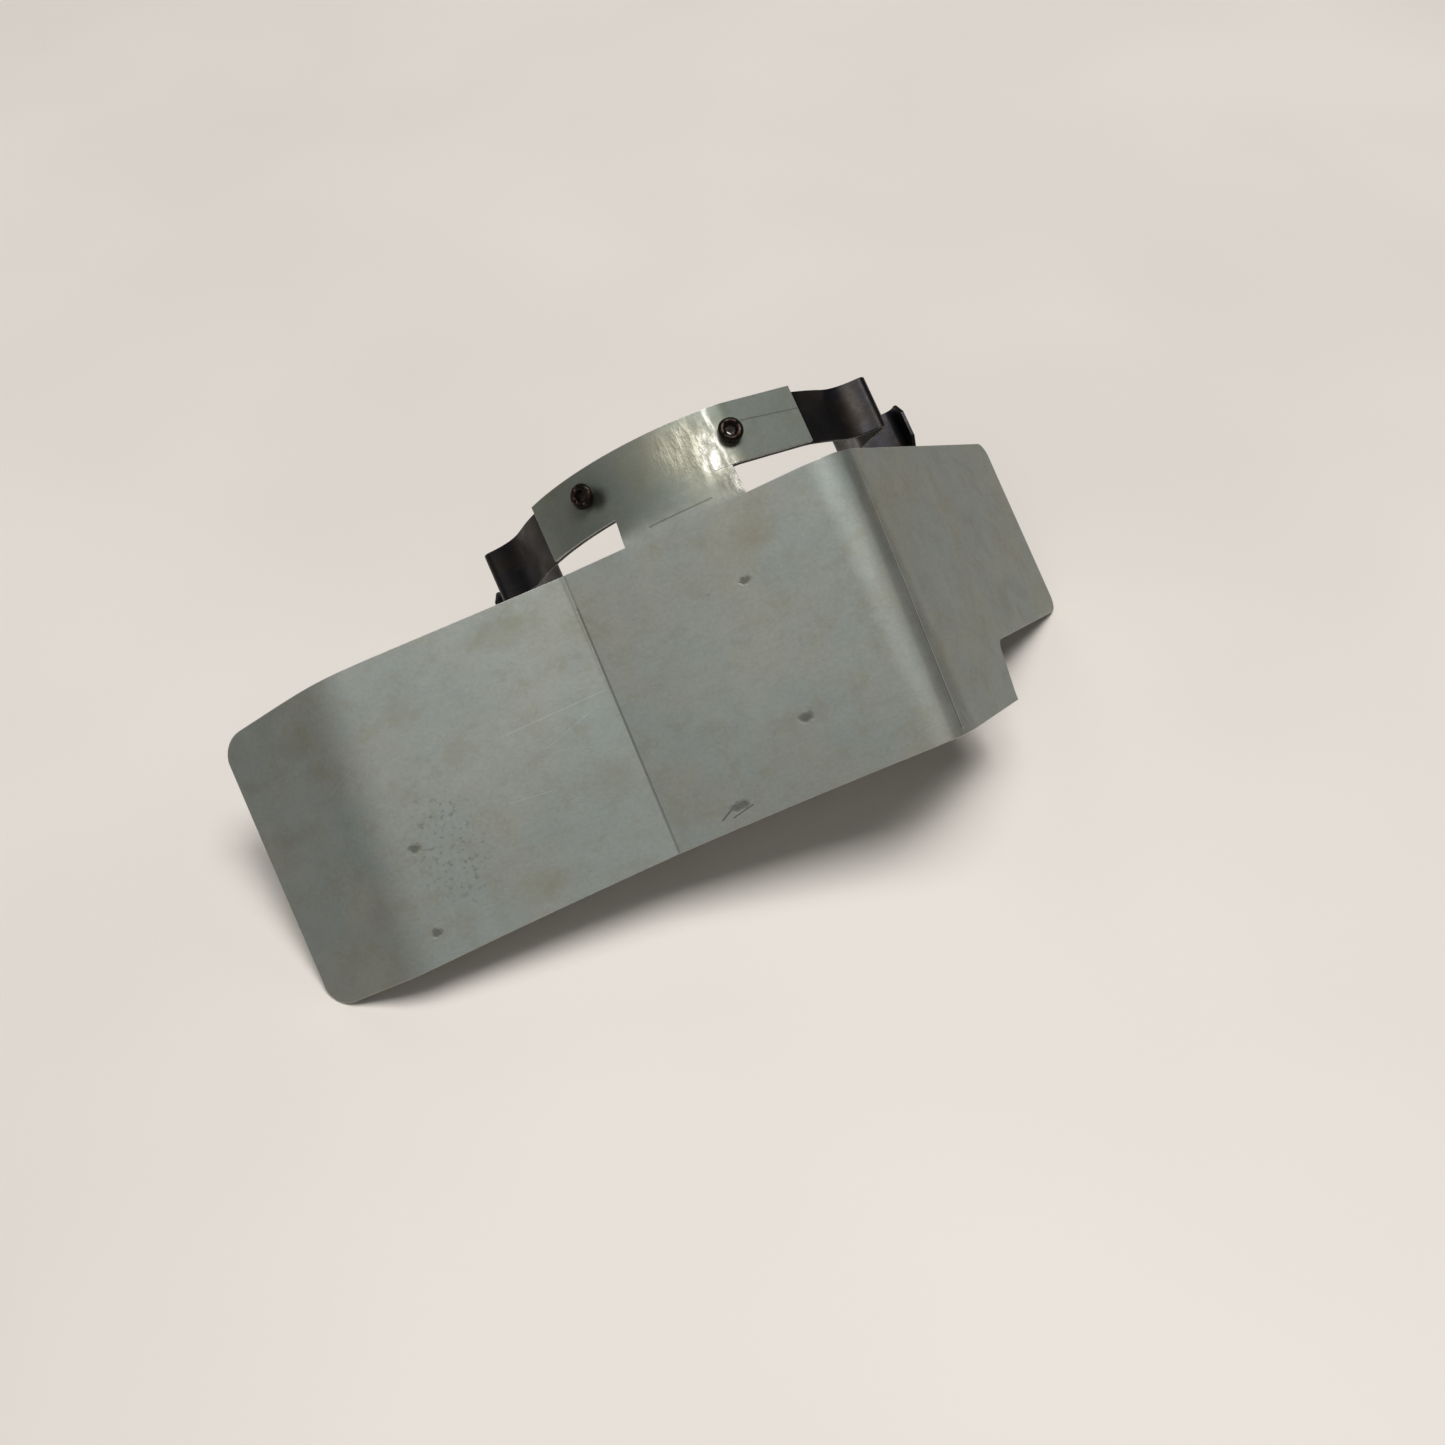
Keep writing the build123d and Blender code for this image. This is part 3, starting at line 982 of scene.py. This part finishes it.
def rivet_profile():
    """Radius and height of the rivet's section, from the bore's foot round the clinch and the head."""
    line_radius = band_radius - sheet_thickness - strip_thickness - strip_seat_gap
    seat = sqrt(line_radius**2 - head_radius**2) - band_radius
    roll_middle = (rivet_bore_radius + clinch_radius) / 2
    roll = (clinch_radius - rivet_bore_radius) / 2
    outline = [(rivet_bore_radius, seat - head_thickness), (rivet_bore_radius, clinch_height - roll)]
    for k in range(1, clinch_steps + 1):
        angle = pi - clinch_curl * k / clinch_steps
        outline.append((roll_middle + roll * cos(angle), clinch_height - roll + roll * sin(angle)))
    outline += [(rivet_shank_radius, 0.0), (rivet_shank_radius, seat)]
    return outline + [(head_radius - inset, seat - depth) for inset, depth in head_edge]


def rivet(side, material):
    """A rivet turned about its own axis, its clinch a little uneven and split at the rim."""
    angle, off = rivet_places[side]
    up = clip_side * sin(radians(angle)) + clip_up * cos(radians(angle))
    base = clip_point(band_centre, angle, band_radius, off)
    first, second = clip_axis, clip_axis.cross(up)
    mesh = start_mesh()
    outline = rivet_profile()
    rings = []
    for k in range(rivet_segments):
        turn_angle = 2 * pi * k / rivet_segments
        way = first * cos(turn_angle) + second * sin(turn_angle)
        ring = []
        for radius, height in outline:
            place = Vector((cos(turn_angle), sin(turn_angle))) * uneven_scale
            uneven = noise.noise(Vector((*place, angle)))
            swell = max(0.0, height) / clinch_height
            split = max(0.0, cos(turn_angle * split_count + angle)) ** split_sharpness
            radius *= 1 + rivet_unevenness * uneven * swell
            height *= 1 - split_depth * split * swell
            ring.append(mesh.verts.new(base + way * radius + up * height))
        rings.append(ring)
    for k in range(rivet_segments):
        ring, after = rings[k], rings[(k + 1) % rivet_segments]
        for j in range(len(outline)):
            m = (j + 1) % len(outline)
            mesh.faces.new((ring[j], after[j], after[m], ring[m]))
    bmesh.ops.recalc_face_normals(mesh, faces=mesh.faces)
    return finish_piece(f"tubular_rivet_{side}", mesh, (material,))


bronze = dark_bronze()
for side in rivet_places:
    piece = rivet(side, bronze)
    piece.data.set_sharp_from_angle(angle=radians(soft_edge_angle))
    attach(piece, "guard")
    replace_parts(piece, f"rivet_{side}")


# ---- floor, camera and light (metres) ----
board_half_width = 2.5
aim = (0, 0, 0.02)
warm_white = (1.0, 0.985, 0.965)
front_white = (1.0, 0.985, 0.97)
plain_white = (1.0, 1.0, 1.0)
world_colour = (0.93, 0.92, 0.90, 1.0)
world_strength_on_object = 0.03
world_strength_seen = 0.62


def board():
    mesh = bmesh.new()
    bmesh.ops.create_grid(mesh, x_segments=8, y_segments=8, size=board_half_width)
    data = bpy.data.meshes.new("board")
    mesh.to_mesh(data)
    mesh.free()
    data.materials.append(pale_board())
    floor = bpy.data.objects.new("board", data)
    bpy.context.scene.collection.objects.link(floor)


board()

# The camera's place is in the plate's axes, in millimetres, and it looks square at the plate.
camera_place = Vector((-6.0, -22.4, 154.6))
camera_roll = 24.0
camera_lens = 34.33
camera_sensor = 36.0
camera_data = bpy.data.cameras.new("camera")
camera_data.sensor_width = camera_sensor
camera_data.lens = camera_lens
camera_data.clip_start = 0.01
camera_data.clip_end = 20.0
camera = bpy.data.objects.new("camera", camera_data)
bpy.context.scene.collection.objects.link(camera)
camera.matrix_world = (
    Matrix.Translation(plate_to_row @ camera_place)
    @ turn.to_4x4()
    @ Matrix.Rotation(radians(-camera_roll), 4, "Z")
)
bpy.context.scene.camera = camera


def softbox(name, place, size, power, colour):
    """A square area light at a place, aimed at the object."""
    light = bpy.data.lights.new(name, "AREA")
    light.shape = "SQUARE"
    light.size = size
    light.energy = power
    light.color = colour
    lamp = bpy.data.objects.new(name, light)
    bpy.context.scene.collection.objects.link(lamp)
    lamp.location = place
    lamp.rotation_euler = (Vector(aim) - Vector(place)).to_track_quat("-Z", "Y").to_euler()


softbox("key", place=(0.65, -0.175, 2.425), size=0.9, power=27.0, colour=warm_white)
softbox("overhead", place=(0.0, 0.0, 2.5), size=1.25, power=26.0, colour=warm_white)
softbox("front_fill", place=(-1.25, -1.25, 1.75), size=1.25, power=5.0, colour=front_white)
softbox("back_rim", place=(-0.3, 2.0, 1.4), size=0.5, power=1.2, colour=plain_white)
softbox("left_fill", place=(-2.15, 0.25, 1.25), size=1.25, power=1.6, colour=plain_white)

# The world lights the object dimly, and shows pale behind the floor.
world = bpy.data.worlds.new("studio")
world.use_nodes = True
background = world.node_tree.nodes["Background"]
background.inputs["Color"].default_value = world_colour
seen = world.node_tree.nodes.new("ShaderNodeLightPath").outputs["Is Camera Ray"]
strength = world.node_tree.nodes.new("ShaderNodeMapRange")
strength.inputs["To Min"].default_value = world_strength_on_object
strength.inputs["To Max"].default_value = world_strength_seen
world.node_tree.links.new(seen, strength.inputs["Value"])
world.node_tree.links.new(strength.outputs[0], background.inputs["Strength"])
bpy.context.scene.world = world
bpy.context.scene.view_settings.view_transform = "Standard"
